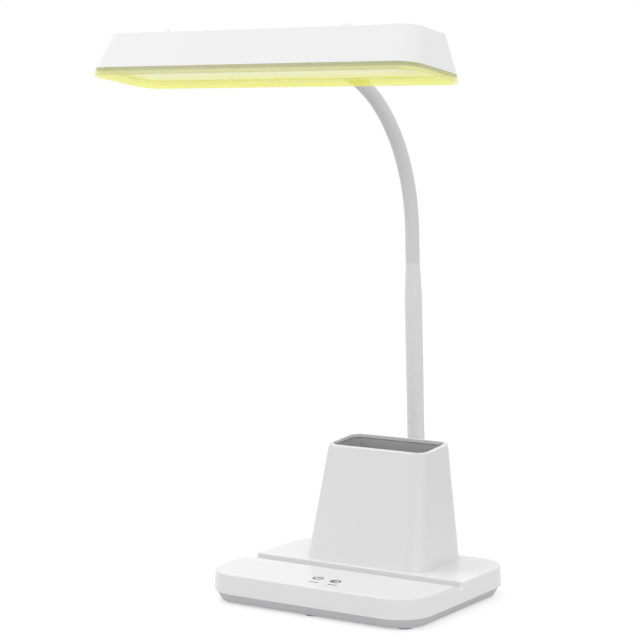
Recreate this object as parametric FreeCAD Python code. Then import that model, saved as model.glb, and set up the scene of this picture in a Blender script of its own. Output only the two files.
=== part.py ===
"""Desk lamp with a pen cup and a phone slot on its base and a gooseneck arm.

Millimetres, +Z up. The origin is on the desk, under the middle of the base.
-Y is the front, where the touch keys are; the arm rises behind the pen cup and
bends forward over it. The gooseneck is cut into short links at its hinges.
"""
import FreeCAD, Part
import math
import os

V = FreeCAD.Vector
X_AXIS = V(1, 0, 0)
Y_AXIS = V(0, 1, 0)
Z_AXIS = V(0, 0, 1)

# ---------------------------------------------------------------- base, in plan and height
BASE_W = 176.0                  # left to right, at the lower edge of the white shell
BASE_D = 147.0                  # front to back, the same
BASE_CORNER_R = 26.0
BASE_TOP_Z = 22.6               # height of the top face above the desk
SHELL_BOTTOM_Z = 8.3            # lower edge of the white shell
BASE_DRAFT = 0.6                # how much each side leans in over the shell's height
BASE_WALL = 2.2
BASE_ROOF = 2.4
BASE_EDGE_R = 0.9
BOSS_END = 1.0                  # solid left over the end of a screw hole
FOOT_H = 1.4                    # how far the rubber feet lift the plinth
PLINTH_STEP = 1.0               # plinth set back from the shell, at its upper edge
PLINTH_TAPER = 4.2              # further set back at its lower edge
PLINTH_WALL = 2.2
PLINTH_FLOOR = 2.0
LIP_H = 3.0                     # locating lip of the plinth inside the shell
LIP_T = 1.4
LIP_GAP = 0.2

# ---------------------------------------------------------------- phone slot across the base
SLOT_FRONT_Y = -17.0
SLOT_W = 14.3
SLOT_DEPTH = 5.0
SLOT_FRONT_DROP = 0.6           # step at its front edge, before the slope
SLOT_FLAT = 3.4                 # level part of its floor, at the back
SLOT_FLOOR_R = 1.4
SLOT_LIP_R = 0.45
SLOT_WALL = 1.8

# ---------------------------------------------------------------- tongue that carries the arm
TONGUE_R = 16.0
TONGUE_BLEND_R = 9.0            # hollow blend between the tongue and the base

# ---------------------------------------------------------------- pen cup
CUP_BOTTOM_W = 102.6
CUP_BOTTOM_D = 66.7
CUP_BOTTOM_R = 14.3
CUP_FRONT_Y = 1.7               # front of the cup's foot
CUP_TOP_W = 86.1                # section at the middle of the sloping rim
CUP_TOP_D = 41.5
CUP_TOP_R = 10.2
CUP_TOP_FRONT_Y = 20.9
CUP_H = 84.3                    # height of the rim's middle above the base
CUP_RIM_SLOPE = 5.1             # degrees, the rim rises to the back
CUP_WALL = 1.8
CUP_FLOOR = 2.2
CUP_RIM_R = 0.9
CUP_LIP_H = 2.3                 # thick lip along the rim
LINER_GAP = 0.4
LINER_WALL = 1.1
LINER_FLOOR = 1.8
LINER_DROP = 0.7                # liner's edge below the lip
CUP_BOSS_H = 6.0
CUP_BOSS_R = 3.6
CUP_BOSS_X = 36.0
CUP_BOSS_INSET_Y = 14.0

# ---------------------------------------------------------------- screws and feet
SCREW_R = 1.5
SCREW_HEAD_R = 2.9
SCREW_HEAD_H = 1.8
SCREW_HEAD_EDGE = 0.5
SCREW_CROSS_L = 2.6
SCREW_CROSS_W = 0.6
SCREW_FIT = 0.15                # radial clearance of a screw in a plain hole
THREAD_FIT = 0.02               # radial clearance of a screw in its thread
SCREW_SEAT_GAP = 0.2            # depth to spare over a sunk screw head
BOSS_R = 3.8
BASE_BOSS_INSET_X = 16.0        # from the base's side to the middle of a boss
BASE_BOSS_INSET_Y = 33.5
FOOT_R = 6.0
FOOT_RECESS = 0.6
FOOT_EDGE = 0.4
FOOT_INSET_X = 16.5
FOOT_INSET_Y = 17.0
MIDDLE_FOOT_INSET_Y = 13.0

# ---------------------------------------------------------------- parts inside the base
WEIGHT_INSET_X = 32.0           # from the base's side to the counterweight
WEIGHT_BACK_INSET = 17.5
WEIGHT_D = 78.0
WEIGHT_H = 7.5
WEIGHT_CORNER_R = 8.0
BOARD_W = 62.0
BOARD_D = 34.0
BOARD_T = 1.6
BOARD_CORNER_R = 2.0
BOARD_INSET_Y = 26.5            # from the base's front to the middle of the board
CHIP_SIZE = 7.0
CHIP_H = 1.2
COIL_R = 3.4
COIL_H = 3.0
COIL_X = 15.0
BOARD_DROP = 6.0                # board's upper face below the base's roof
BOARD_SCREW_INSET = 5.0
KEY_X = (-4.0, 11.4)
KEY_INSET_Y = 25.1
KEY_SPRING_R = 3.4
KEY_WIRE_R = 0.5
KEY_TURNS = 5
INLET_INSET_X = 38.0            # from the base's left side to the power inlet
INLET_Z = 15.4
INLET_POCKET_R = 5.0
INLET_POCKET_DEPTH = 5.0
INLET_BOSS_T = 1.8
INLET_BARREL_R = 4.1
INLET_BORE_R = 3.2
INLET_BORE_DEPTH = 9.0
INLET_PIN_R = 1.0
INLET_PIN_SUNK = 1.0
INLET_BODY_W = 9.2
INLET_BODY_L = 9.0

# ---------------------------------------------------------------- arm
ARM_FOOT_BEHIND = 12.7          # arm's centre line behind the base's rear edge
ARM_LEAN = 2.66                 # degrees that the straight tube leans forward
TUBE_R = 6.55
TUBE_WALL = 1.2
TUBE_LENGTH = 189.9             # above the base's top face
COLLAR_L = 26.2                 # tapered collar between tube and gooseneck
COLLAR_SPIGOT_L = 10.0
COLLAR_SEAT_L = 16.0
GOOSE_R = 5.25
CORE_R = 3.4
STRAIGHT_GOOSE_L = 23.7         # straight stretch of gooseneck before it bends
BEND_R = 124.8
FIRST_HINGE_DEG = 10.0          # slope of the gooseneck at its first hinge, from upright
HINGE_COUNT = 5
LINK_GAP = 0.3                  # between the round end of a link and the hollow end of the next
WIRE_WAY_R = 1.7                # way for the wires through the collar
ARM_FIT = 0.05                  # radial clearance between the arm's parts
SOCKET_R = 11.0
SOCKET_FLOOR = 1.0
SOCKET_EDGE = 0.8
SOCKET_SCREW_R = 2.0
SOCKET_SCREW_Z = 14.5
SOCKET_SCREW_SUNK = 0.3
SOCKET_KEY_R = 1.0
SOCKET_KEY_DEPTH = 1.5

# ---------------------------------------------------------------- lamp head, in its own frame
HEAD_PITCH = 7.06               # degrees, front edge up
NECK_REACH = 76.1               # end of the bend to the middle of the head, along the neck
NECK_HEIGHT = 14.9              # neck's centre line above the cover's lower edge
NECK_INSIDE = 20.0
NECK_TIP_GAP = 2.0              # from the neck's end to the end of its hole in the bracket
NECK_WALL = 1.2
COVER_BOTTOM_W = 253.3
COVER_BOTTOM_D = 68.5
COVER_BOTTOM_R = 13.6
COVER_TOP_W = 243.2
COVER_TOP_D = 51.0
COVER_TOP_R = 15.5
COVER_H = 24.9
COVER_WALL = 2.2
COVER_EDGE_R = 1.0
RIM_H = 5.2
RIM_FLARE_X = 1.3               # how far each end of the rim leans out
RIM_FLARE_Y = 0.2               # the same for its front and back
RIM_WALL = 2.0
RIM_EDGE_R = 0.5
RIM_LEDGE_W = 5.0
RIM_LEDGE_T = 1.2
PANEL_T = 2.0
PANEL_GAP = 0.3
TRAY_GAP = 0.3
TRAY_WALL = 1.4
TRAY_ROOF = 1.4
TRAY_H = 7.0
LED_BOARD_INSET = 5.5           # light board inside the outline of the cover's top
LED_BOARD_T = 1.4
LED_BOARD_CORNER_R = 2.0
LED_END_INSET = 12.0            # from the board's end to the last light chip
LED_SIDE_INSET = 8.0
LED_SIZE = 3.4
LED_H = 0.8
LED_COLUMNS = 14
LED_ROWS = 2
PLUG_R = 6.0
PLUG_T = 1.2
PLUG_PROUD = 0.7
PLUG_EDGE_R = 0.55
PLUG_SIDE_X = 70.0
PLUG_SIDE_INSET = 8.0
PLUG_END_INSET = 9.0
BRACKET_W = 26.0
BRACKET_D = 20.0
BRACKET_GAP = 1.5               # between the bracket and the cover's rear wall

# ---------------------------------------------------------------- how the tools cut
PAST = 1.0                      # how far a cutting tool runs past what it cuts
NEAR = 0.5                      # how near an edge is to the place where it is looked for
FLAT = 0.01                     # the same, for a level edge

# ---------------------------------------------------------------- levels derived from the above
PLINTH_FLOOR_Z = FOOT_H + PLINTH_FLOOR
ROOF_Z = BASE_TOP_Z - BASE_ROOF
SLOT_BACK_Y = SLOT_FRONT_Y + SLOT_W
BASE_FRONT_Y = -BASE_D / 2
BASE_BACK_Y = BASE_D / 2
ARM_FOOT_Y = BASE_BACK_Y + ARM_FOOT_BEHIND
BASE_BOSS_X = BASE_W / 2 - BASE_BOSS_INSET_X
BASE_BOSS_Y = BASE_D / 2 - BASE_BOSS_INSET_Y
FOOT_CORNER_X = BASE_W / 2 - FOOT_INSET_X
FOOT_CORNER_Y = BASE_D / 2 - FOOT_INSET_Y
FOOT_MIDDLE_Y = BASE_D / 2 - MIDDLE_FOOT_INSET_Y
SCREW_SEAT_Z = FOOT_H + SCREW_HEAD_H + SCREW_SEAT_GAP
INLET_X = -BASE_W / 2 + INLET_INSET_X
INLET_FACE_Y = BASE_BACK_Y - INLET_POCKET_DEPTH
BOARD_MIDDLE_Y = BASE_FRONT_Y + BOARD_INSET_Y
KEY_Y = BASE_FRONT_Y + KEY_INSET_Y
CUP_FLOOR_Z = BASE_TOP_Z + CUP_FLOOR
CUP_TOP_Z = BASE_TOP_Z + CUP_H
CUP_RIM_MIDDLE_Y = CUP_TOP_FRONT_Y + CUP_TOP_D / 2
CUP_TALL_Z = CUP_TOP_Z + CUP_TOP_D * math.tan(math.radians(CUP_RIM_SLOPE))     # above all of the rim
CUP_LIP_T = CUP_WALL + LINER_GAP + LINER_WALL
BOARD_TOP_Z = ROOF_Z - BOARD_DROP
LEAN = math.radians(ARM_LEAN)
PITCH = math.radians(HEAD_PITCH)
END_SLOPE = math.pi / 2 - PITCH
PANEL_TOP = PANEL_T
TRAY_TOP = PANEL_TOP + TRAY_H
HEAD_SCREW_SEAT = COVER_H - PLUG_T - SCREW_HEAD_H - SCREW_SEAT_GAP
LED_BOARD_W = COVER_TOP_W - 2 * LED_BOARD_INSET
LED_BOARD_D = COVER_TOP_D - 2 * LED_BOARD_INSET
LED_PITCH_X = (LED_BOARD_W - 2 * LED_END_INSET) / (LED_COLUMNS - 1)
LED_PITCH_Y = LED_BOARD_D - 2 * LED_SIDE_INSET


# ---------------------------------------------------------------- shape helpers
def rounded_rectangle(width, depth, radius, z, y_mid=0.0):
    """Closed wire of a rounded rectangle at height z, starting on its right side."""
    half_w = width / 2
    half_d = depth / 2
    edges = []
    corners = ((1, 1, 0), (-1, 1, 90), (-1, -1, 180), (1, -1, 270))
    arcs = []
    for sign_x, sign_y, start in corners:
        centre = V(sign_x * (half_w - radius), y_mid + sign_y * (half_d - radius), z)
        arc = Part.makeCircle(radius, centre, Z_AXIS, start, start + 90)
        arcs.append(arc)
    for index, arc in enumerate(arcs):
        following = arcs[(index + 1) % len(arcs)]
        side_start = arc.valueAt(arc.LastParameter)
        side_end = following.valueAt(following.FirstParameter)
        edges.append(arc)
        edges.append(Part.makeLine(side_start, side_end))
    return Part.Wire(edges)


def tongue_outline(radius, z):
    """Closed wire of the tongue: straight sides from inside the base and a round end."""
    y_start = BASE_BACK_Y - BASE_CORNER_R
    left = V(-radius, y_start, z)
    right = V(radius, y_start, z)
    end = Part.makeCircle(radius, V(0, ARM_FOOT_Y, z), Z_AXIS, 0, 180)
    sides = [
        Part.makeLine(right, V(radius, ARM_FOOT_Y, z)),
        end,
        Part.makeLine(V(-radius, ARM_FOOT_Y, z), left),
        Part.makeLine(left, right),
    ]
    return Part.Wire(sides)


def ruled_solid(lower, upper):
    """Solid with straight sides between two wires of equal make."""
    return Part.makeLoft([lower, upper], True, True)


def body_block(inset_low, inset_high, z_low, z_high):
    """Solid with the base's plan but no tongue, set in by the two insets."""
    def section(inset, z):
        width = BASE_W - 2 * inset
        depth = BASE_D - 2 * inset
        return rounded_rectangle(width, depth, BASE_CORNER_R - inset, z)
    return ruled_solid(section(inset_low, z_low), section(inset_high, z_high))


def base_block(inset_low, inset_high, z_low, z_high):
    """Solid with the base's plan, tongue included, set in by the two insets."""
    body = body_block(inset_low, inset_high, z_low, z_high)
    tongue = ruled_solid(
        tongue_outline(TONGUE_R - inset_low, z_low),
        tongue_outline(TONGUE_R - inset_high, z_high),
    )
    block = body.fuse(tongue).removeSplitter()
    inset = (inset_low + inset_high) / 2
    corner = V(TONGUE_R - inset, BASE_BACK_Y - inset, (z_low + z_high) / 2)
    blends = []
    for edge in block.Edges:
        middle = edge.CenterOfMass
        if V(abs(middle.x), middle.y, middle.z).distanceToPoint(corner) < NEAR:
            blends.append(edge)
    return block.makeFillet(TONGUE_BLEND_R, blends)


def edges_at_height(shape, z):
    """Edges of the shape that lie wholly at height z."""
    boxes = [(edge, edge.BoundBox) for edge in shape.Edges]
    return [edge for edge, box in boxes if abs(box.ZMin - z) < FLAT and abs(box.ZMax - z) < FLAT]


def column(radius, x, y, z_low, z_high):
    """Upright cylinder between two heights."""
    return Part.makeCylinder(radius, z_high - z_low, V(x, y, z_low))


def fuse_all(shapes):
    """One shape of many, or the only one there is."""
    first, rest = shapes[0], shapes[1:]
    return first.fuse(rest) if rest else first


def screw(x, y, z_head, z_tip):
    """Pan-head screw on an upright axis: its head beyond z_head, its tip at z_tip."""
    direction = 1 if z_tip > z_head else -1
    axis = V(0, 0, direction)
    shank = Part.makeCylinder(SCREW_R, abs(z_tip - z_head), V(x, y, z_head), axis)
    head_base = V(x, y, z_head - direction * SCREW_HEAD_H)
    head = Part.makeCylinder(SCREW_HEAD_R, SCREW_HEAD_H, head_base, axis)
    head = head.makeChamfer(SCREW_HEAD_EDGE, edges_at_height(head, head_base.z))
    cross_depth = SCREW_HEAD_H / 2
    cross_z = min(head_base.z, head_base.z + direction * cross_depth)
    blades = []
    for length, width in ((SCREW_CROSS_L, SCREW_CROSS_W), (SCREW_CROSS_W, SCREW_CROSS_L)):
        corner = V(x - length / 2, y - width / 2, cross_z)
        blades.append(Part.makeBox(length, width, cross_depth, corner))
    return head.fuse(shank).cut(blades)


# ---------------------------------------------------------------- places shared by several parts
def corner_points(x, y, y_mid=0.0):
    """Four points placed symmetrically about (0, y_mid)."""
    return [(sx * x, y_mid + sy * y) for sx in (-1, 1) for sy in (-1, 1)]


BASE_BOSSES = corner_points(BASE_BOSS_X, BASE_BOSS_Y)
CUP_BOSSES = corner_points(
    CUP_BOSS_X,
    CUP_BOTTOM_D / 2 - CUP_BOSS_INSET_Y,
    CUP_FRONT_Y + CUP_BOTTOM_D / 2,
)
BOARD_BOSSES = corner_points(
    BOARD_W / 2 - BOARD_SCREW_INSET,
    BOARD_D / 2 - BOARD_SCREW_INSET,
    BOARD_MIDDLE_Y,
)
FEET = corner_points(FOOT_CORNER_X, FOOT_CORNER_Y)
FEET += [(0.0, -FOOT_MIDDLE_Y), (0.0, 0.0), (0.0, FOOT_MIDDLE_Y)]
PLUGS = corner_points(PLUG_SIDE_X, COVER_TOP_D / 2 - PLUG_SIDE_INSET)
PLUGS += [(side * (COVER_TOP_W / 2 - PLUG_END_INSET), 0.0) for side in (-1, 1)]


# ---------------------------------------------------------------- base
def slot_block(grow):
    """The phone slot as a bar that runs right across the base, grown by a wall.

    Its floor slopes down from the front edge to a level part along the back wall.
    """
    low = BASE_TOP_Z - SLOT_DEPTH - grow
    high = BASE_TOP_Z + PAST
    front = SLOT_FRONT_Y - grow
    back = SLOT_BACK_Y + grow
    x = -BASE_W / 2 - PAST
    corners = [
        V(x, front, high),
        V(x, front, BASE_TOP_Z - SLOT_FRONT_DROP - grow),
        V(x, SLOT_BACK_Y - SLOT_FLAT, low),
        V(x, back, low),
        V(x, back, high),
    ]
    bar = Part.Face(Part.makePolygon(corners + corners[:1])).extrude(V(BASE_W + 2 * PAST, 0, 0))
    floor_corner = [edge for edge in bar.Edges if edge.isInside(V(0, back, low), FLAT, True)]
    return bar.makeFillet(SLOT_FLOOR_R + grow, floor_corner)


def inlet_bore(radius, y_inner, y_outer):
    """Cylinder along Y at the power inlet."""
    return Part.makeCylinder(radius, y_outer - y_inner, V(INLET_X, y_inner, INLET_Z), Y_AXIS)


def arm_axis_cylinder(radius, z_low, z_high):
    """Cylinder on the leaning axis of the arm, between two heights."""
    direction = V(0, -math.sin(LEAN), math.cos(LEAN))
    foot = V(0, ARM_FOOT_Y, BASE_TOP_Z)
    start = foot + direction * ((z_low - BASE_TOP_Z) / math.cos(LEAN))
    return Part.makeCylinder(radius, (z_high - z_low) / math.cos(LEAN), start, direction)


def along_slot(edge):
    """True for a long edge of the phone slot."""
    from_lips = min(abs(edge.CenterOfMass.y - y) for y in (SLOT_FRONT_Y, SLOT_BACK_Y))
    return edge.BoundBox.XLength > BASE_W / 2 and from_lips < FLAT


def base_top_shell():
    """White upper shell with the phone slot, screw bosses and the tongue for the arm."""
    block = base_block(0.0, BASE_DRAFT, SHELL_BOTTOM_Z, BASE_TOP_Z)
    block = block.makeFillet(BASE_EDGE_R, edges_at_height(block, BASE_TOP_Z))
    cavity = base_block(BASE_WALL, BASE_WALL + BASE_DRAFT, SHELL_BOTTOM_Z, ROOF_Z)
    cavity = cavity.cut(slot_block(SLOT_WALL))
    shell = block.cut(cavity)
    bosses = [column(BOSS_R, x, y, SHELL_BOTTOM_Z, ROOF_Z) for x, y in BASE_BOSSES]
    bosses += [column(BOSS_R, x, y, BOARD_TOP_Z, ROOF_Z) for x, y in BOARD_BOSSES]
    inlet_back = INLET_FACE_Y - INLET_BOSS_T
    inlet_boss = inlet_bore(INLET_POCKET_R + INLET_BOSS_T, inlet_back, BASE_BACK_Y - BASE_WALL)
    bosses.append(inlet_boss.common(cavity))
    shell = shell.fuse(bosses)
    thread_r = SCREW_R + THREAD_FIT
    thread_top = ROOF_Z - BOSS_END
    cuts = [slot_block(0.0)]
    cuts += [column(thread_r, x, y, SHELL_BOTTOM_Z - PAST, thread_top) for x, y in BASE_BOSSES]
    cuts += [column(thread_r, x, y, BOARD_TOP_Z - PAST, thread_top) for x, y in BOARD_BOSSES]
    cuts += [column(SCREW_R + SCREW_FIT, x, y, ROOF_Z - PAST, BASE_TOP_Z + PAST) for x, y in CUP_BOSSES]
    cuts.append(inlet_bore(INLET_POCKET_R, INLET_FACE_Y, BASE_BACK_Y + PAST))
    cuts.append(inlet_bore(INLET_BARREL_R + ARM_FIT, inlet_back - PAST, BASE_BACK_Y))
    cuts.append(arm_axis_cylinder(TUBE_R + ARM_FIT, ROOF_Z - PAST, BASE_TOP_Z + PAST))
    shell = shell.cut(cuts)
    lips = [edge for edge in edges_at_height(shell, BASE_TOP_Z) if along_slot(edge)]
    return shell.makeFillet(SLOT_LIP_R, lips)


def base_bottom_cover():
    """Grey tapered plinth that closes the base, with its lip, screw pillars and foot recesses."""
    low = PLINTH_STEP + PLINTH_TAPER
    block = base_block(low, PLINTH_STEP, FOOT_H, SHELL_BOTTOM_Z)
    hollow = body_block(low + PLINTH_WALL, PLINTH_STEP + PLINTH_WALL, PLINTH_FLOOR_Z, SHELL_BOTTOM_Z)
    tray = block.cut(hollow)
    lip_inset = BASE_WALL + LIP_GAP
    lip_z = SHELL_BOTTOM_Z - PLINTH_WALL
    lip_top = SHELL_BOTTOM_Z + LIP_H
    inlet_r = INLET_POCKET_R + INLET_BOSS_T + LIP_GAP
    lip = base_block(lip_inset, lip_inset, lip_z, lip_top)
    lip = lip.cut(base_block(lip_inset + LIP_T, lip_inset + LIP_T, lip_z, lip_top))
    lip = lip.cut(inlet_bore(inlet_r, BASE_BACK_Y - BASE_CORNER_R, BASE_BACK_Y))
    pillars = [column(BOSS_R, x, y, FOOT_H, SHELL_BOTTOM_Z) for x, y in BASE_BOSSES]
    tray = tray.fuse([lip] + pillars)
    cuts = [column(SCREW_R + SCREW_FIT, x, y, 0, SHELL_BOTTOM_Z + PAST) for x, y in BASE_BOSSES]
    cuts += [column(SCREW_HEAD_R + SCREW_FIT, x, y, 0, SCREW_SEAT_Z) for x, y in BASE_BOSSES]
    cuts += [column(FOOT_R + SCREW_FIT, x, y, 0, FOOT_H + FOOT_RECESS) for x, y in FEET]
    return tray.cut(cuts)


def rubber_feet():
    """Seven round feet, each sunk a little into the plinth."""
    feet = []
    for x, y in FEET:
        foot = column(FOOT_R, x, y, 0, FOOT_H + FOOT_RECESS)
        feet.append(foot.makeChamfer(FOOT_EDGE, edges_at_height(foot, 0)))
    return Part.makeCompound(feet)


def base_screws():
    """Four screws that hold the plinth to the shell."""
    tip = ROOF_Z - 2 * BOSS_END
    return Part.makeCompound([screw(x, y, SCREW_SEAT_Z, tip) for x, y in BASE_BOSSES])


def counterweight():
    """Steel plate on the plinth's floor, so that the lamp doesn't tip forward."""
    width = BASE_W - 2 * WEIGHT_INSET_X
    middle_y = BASE_BACK_Y - WEIGHT_BACK_INSET - WEIGHT_D / 2
    outline = rounded_rectangle(width, WEIGHT_D, WEIGHT_CORNER_R, PLINTH_FLOOR_Z, middle_y)
    return Part.Face(outline).extrude(V(0, 0, WEIGHT_H))


def control_board():
    """Circuit board under the touch keys, with its driver chip and coil."""
    low = BOARD_TOP_Z - BOARD_T
    hole_r = SCREW_R + SCREW_FIT
    outline = rounded_rectangle(BOARD_W, BOARD_D, BOARD_CORNER_R, low, BOARD_MIDDLE_Y)
    board = Part.Face(outline).extrude(V(0, 0, BOARD_T))
    board = board.cut([column(hole_r, x, y, low - PAST, BOARD_TOP_Z + PAST) for x, y in BOARD_BOSSES])
    chip_corner = V(-CHIP_SIZE / 2, BOARD_MIDDLE_Y - CHIP_SIZE / 2, low - CHIP_H)
    chip = Part.makeBox(CHIP_SIZE, CHIP_SIZE, CHIP_H, chip_corner)
    coil = column(COIL_R, COIL_X, BOARD_MIDDLE_Y, low - COIL_H, low)
    return board.fuse([chip, coil])


def board_screws():
    """Four screws that hold the board to the shell's bosses."""
    low = BOARD_TOP_Z - BOARD_T
    return Part.makeCompound([screw(x, y, low, ROOF_Z - BOSS_END) for x, y in BOARD_BOSSES])


def key_springs():
    """A sensing spring under each touch key, from the board up to the roof."""
    springs = []
    height = BOARD_DROP - 2 * KEY_WIRE_R
    coil_r = KEY_SPRING_R - KEY_WIRE_R
    for x in KEY_X:
        helix = Part.makeHelix(height / KEY_TURNS, height, coil_r)
        profile = Part.Wire([Part.makeCircle(KEY_WIRE_R, V(coil_r, 0, 0), Y_AXIS)])
        coil = Part.Wire(helix).makePipeShell([profile], True, True)
        coil.translate(V(x, KEY_Y, BOARD_TOP_Z + KEY_WIRE_R))
        springs.append(coil)
    return Part.makeCompound(springs)


def power_inlet():
    """Round power socket with its centre pin, behind the pocket in the rear wall."""
    back_y = INLET_FACE_Y - INLET_BOSS_T - INLET_BODY_L
    barrel = inlet_bore(INLET_BARREL_R, INLET_FACE_Y - INLET_BOSS_T, INLET_FACE_Y)
    body = Part.makeBox(
        INLET_BODY_W, INLET_BODY_L, INLET_BODY_W,
        V(INLET_X - INLET_BODY_W / 2, back_y, INLET_Z - INLET_BODY_W / 2),
    )
    bore = inlet_bore(INLET_BORE_R, INLET_FACE_Y - INLET_BORE_DEPTH, INLET_FACE_Y + PAST)
    pin = inlet_bore(INLET_PIN_R, INLET_FACE_Y - INLET_BORE_DEPTH, INLET_FACE_Y - INLET_PIN_SUNK)
    return barrel.fuse(body).cut(bore).fuse(pin)


# ---------------------------------------------------------------- pen cup
def cup_block(inset, z_low, z_high):
    """Solid of the cup's tapered form, set in by a wall, between two heights."""
    def section(z):
        share = (z - BASE_TOP_Z) / CUP_H
        width = CUP_BOTTOM_W + (CUP_TOP_W - CUP_BOTTOM_W) * share
        depth = CUP_BOTTOM_D + (CUP_TOP_D - CUP_BOTTOM_D) * share
        radius = CUP_BOTTOM_R + (CUP_TOP_R - CUP_BOTTOM_R) * share
        front = CUP_FRONT_Y + (CUP_TOP_FRONT_Y - CUP_FRONT_Y) * share
        return rounded_rectangle(width - 2 * inset, depth - 2 * inset, radius - inset, z, front + depth / 2)
    return ruled_solid(section(z_low), section(z_high))


def under_rim(drop):
    """Block under the sloping plane of the cup's rim, lowered by a drop."""
    block = Part.makeBox(
        2 * CUP_BOTTOM_W, 2 * CUP_BOTTOM_D, 2 * CUP_H,
        V(-CUP_BOTTOM_W, -CUP_BOTTOM_D, -2 * CUP_H),
    )
    block.rotate(V(0, 0, 0), X_AXIS, CUP_RIM_SLOPE)
    block.translate(V(0, CUP_RIM_MIDDLE_Y, CUP_TOP_Z - drop))
    return block


def on_rim(edge):
    """True for an edge that lies in the sloping plane of the cup's rim."""
    slope = math.radians(CUP_RIM_SLOPE)
    normal = V(0, -math.sin(slope), math.cos(slope))
    middle = V(0, CUP_RIM_MIDDLE_Y, CUP_TOP_Z)
    points = [edge.valueAt(end) for end in edge.ParameterRange]
    return all(abs((point - middle).dot(normal)) < FLAT for point in points)


def cup_shell():
    """White tapered cup that stands on the base, screwed on from below.

    A thick lip runs along its sloping rim, flush with the liner's inner face.
    """
    outer = cup_block(0.0, BASE_TOP_Z, CUP_TALL_Z).common(under_rim(0.0))
    outer = outer.makeFillet(CUP_RIM_R, [edge for edge in outer.Edges if on_rim(edge)])
    cavity = cup_block(CUP_WALL, CUP_FLOOR_Z, CUP_TALL_Z).common(under_rim(CUP_LIP_H))
    shell = outer.cut([cavity, cup_block(CUP_LIP_T, CUP_FLOOR_Z, CUP_TALL_Z)])
    boss_top = CUP_FLOOR_Z + CUP_BOSS_H
    bosses = [column(CUP_BOSS_R, x, y, CUP_FLOOR_Z, boss_top) for x, y in CUP_BOSSES]
    thread_r = SCREW_R + THREAD_FIT
    holes = [column(thread_r, x, y, BASE_TOP_Z - PAST, boss_top - BOSS_END) for x, y in CUP_BOSSES]
    return shell.fuse(bosses).cut(holes)


def cup_liner():
    """Grey bucket inside the cup, standing on the cup's bosses."""
    floor_z = CUP_FLOOR_Z + CUP_BOSS_H
    outer = cup_block(CUP_WALL + LINER_GAP, floor_z, CUP_TALL_Z).common(under_rim(CUP_LIP_H + LINER_DROP))
    inner = cup_block(CUP_LIP_T, floor_z + LINER_FLOOR, CUP_TALL_Z)
    return outer.cut(inner)


def cup_screws():
    """Four screws that hold the cup, their heads under the base's roof."""
    tip = CUP_FLOOR_Z + CUP_BOSS_H - 1.5 * BOSS_END
    return Part.makeCompound([screw(x, y, ROOF_Z, tip) for x, y in CUP_BOSSES])


# ---------------------------------------------------------------- arm
GOOSE_START = TUBE_LENGTH + COLLAR_L
BEND_START = GOOSE_START + STRAIGHT_GOOSE_L
BEND_END = BEND_START + BEND_R * (END_SLOPE - LEAN)
FIRST_HINGE = BEND_START + BEND_R * (math.radians(FIRST_HINGE_DEG) - LEAN)
HINGES = [FIRST_HINGE + (BEND_END - FIRST_HINGE) * i / (HINGE_COUNT - 1) for i in range(HINGE_COUNT)]


def arm_slope(length):
    """Angle of the arm's centre line from upright, in radians."""
    return LEAN + min(max(length - BEND_START, 0) / BEND_R, END_SLOPE - LEAN)


def arm_point(length):
    """Point and unit direction of the arm's centre line, at a length above the base's top."""
    straight = min(length, BEND_START)
    slope = arm_slope(length)
    beyond = max(length - BEND_END, 0)
    direction = V(0, -math.sin(slope), math.cos(slope))
    foot = V(0, ARM_FOOT_Y, BASE_TOP_Z)
    tube = V(0, -math.sin(LEAN), math.cos(LEAN)) * straight
    bend = V(0, math.cos(slope) - math.cos(LEAN), math.sin(slope) - math.sin(LEAN)) * BEND_R
    return foot + tube + bend + direction * beyond, direction


def arm_sweep(radius, start, end):
    """Round rod of a radius along the arm's centre line, straight or bent as it runs."""
    pieces = []
    marks = [start] + [mark for mark in (BEND_START, BEND_END) if start < mark < end] + [end]
    for low, high in zip(marks, marks[1:]):
        point, direction = arm_point(low)
        if BEND_START < (low + high) / 2 < BEND_END:
            disc = Part.Face(Part.Wire([Part.makeCircle(radius, point, direction)]))
            slope = arm_slope(low)
            centre = point - V(0, math.cos(slope), math.sin(slope)) * BEND_R
            pieces.append(disc.revolve(centre, X_AXIS, math.degrees((high - low) / BEND_R)))
        else:
            pieces.append(Part.makeCylinder(radius, high - low, point, direction))
    return fuse_all(pieces)


def ball_end(length):
    """Half ball on the centre line, facing up the arm."""
    point, direction = arm_point(length)
    return Part.makeSphere(GOOSE_R, point, direction, 0, 90, 360)


def seat_ball(length):
    """Ball that hollows the next link's end, so that it can turn on the one below."""
    point, _ = arm_point(length)
    return Part.makeSphere(GOOSE_R + LINK_GAP, point)


def core_tip(radius, length):
    """Rod that carries the core on through the ball at a hinge."""
    point, direction = arm_point(length)
    return Part.makeCylinder(radius, GOOSE_R + PAST, point, direction)


def link_core(index):
    """Steel core of one link of the gooseneck, round at its head, hollow at its foot."""
    start = HINGES[index - 1] if index else GOOSE_START - COLLAR_SEAT_L
    end = HINGES[index]
    core = arm_sweep(CORE_R, start, end).fuse(ball_end(end).common(core_tip(CORE_R, end)))
    return core.cut(seat_ball(start)) if index else core


def link_sleeve(index):
    """Soft sleeve of one link, over its core, with the same round head and hollow foot."""
    start = HINGES[index - 1] if index else GOOSE_START
    end = HINGES[index]
    sleeve = arm_sweep(GOOSE_R, start, end).fuse(ball_end(end))
    tunnel_r = CORE_R + ARM_FIT
    sleeve = sleeve.cut([arm_sweep(tunnel_r, start, end), core_tip(tunnel_r, end)])
    return sleeve.cut(seat_ball(start)) if index else sleeve


def arm_tube():
    """Straight steel tube from inside the tongue up to the collar."""
    top = BASE_TOP_Z + math.cos(LEAN) * TUBE_LENGTH
    outer = arm_axis_cylinder(TUBE_R, SHELL_BOTTOM_Z + SOCKET_FLOOR, top)
    inner = arm_axis_cylinder(TUBE_R - TUBE_WALL, SHELL_BOTTOM_Z, top + PAST)
    return outer.cut(inner)


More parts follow.
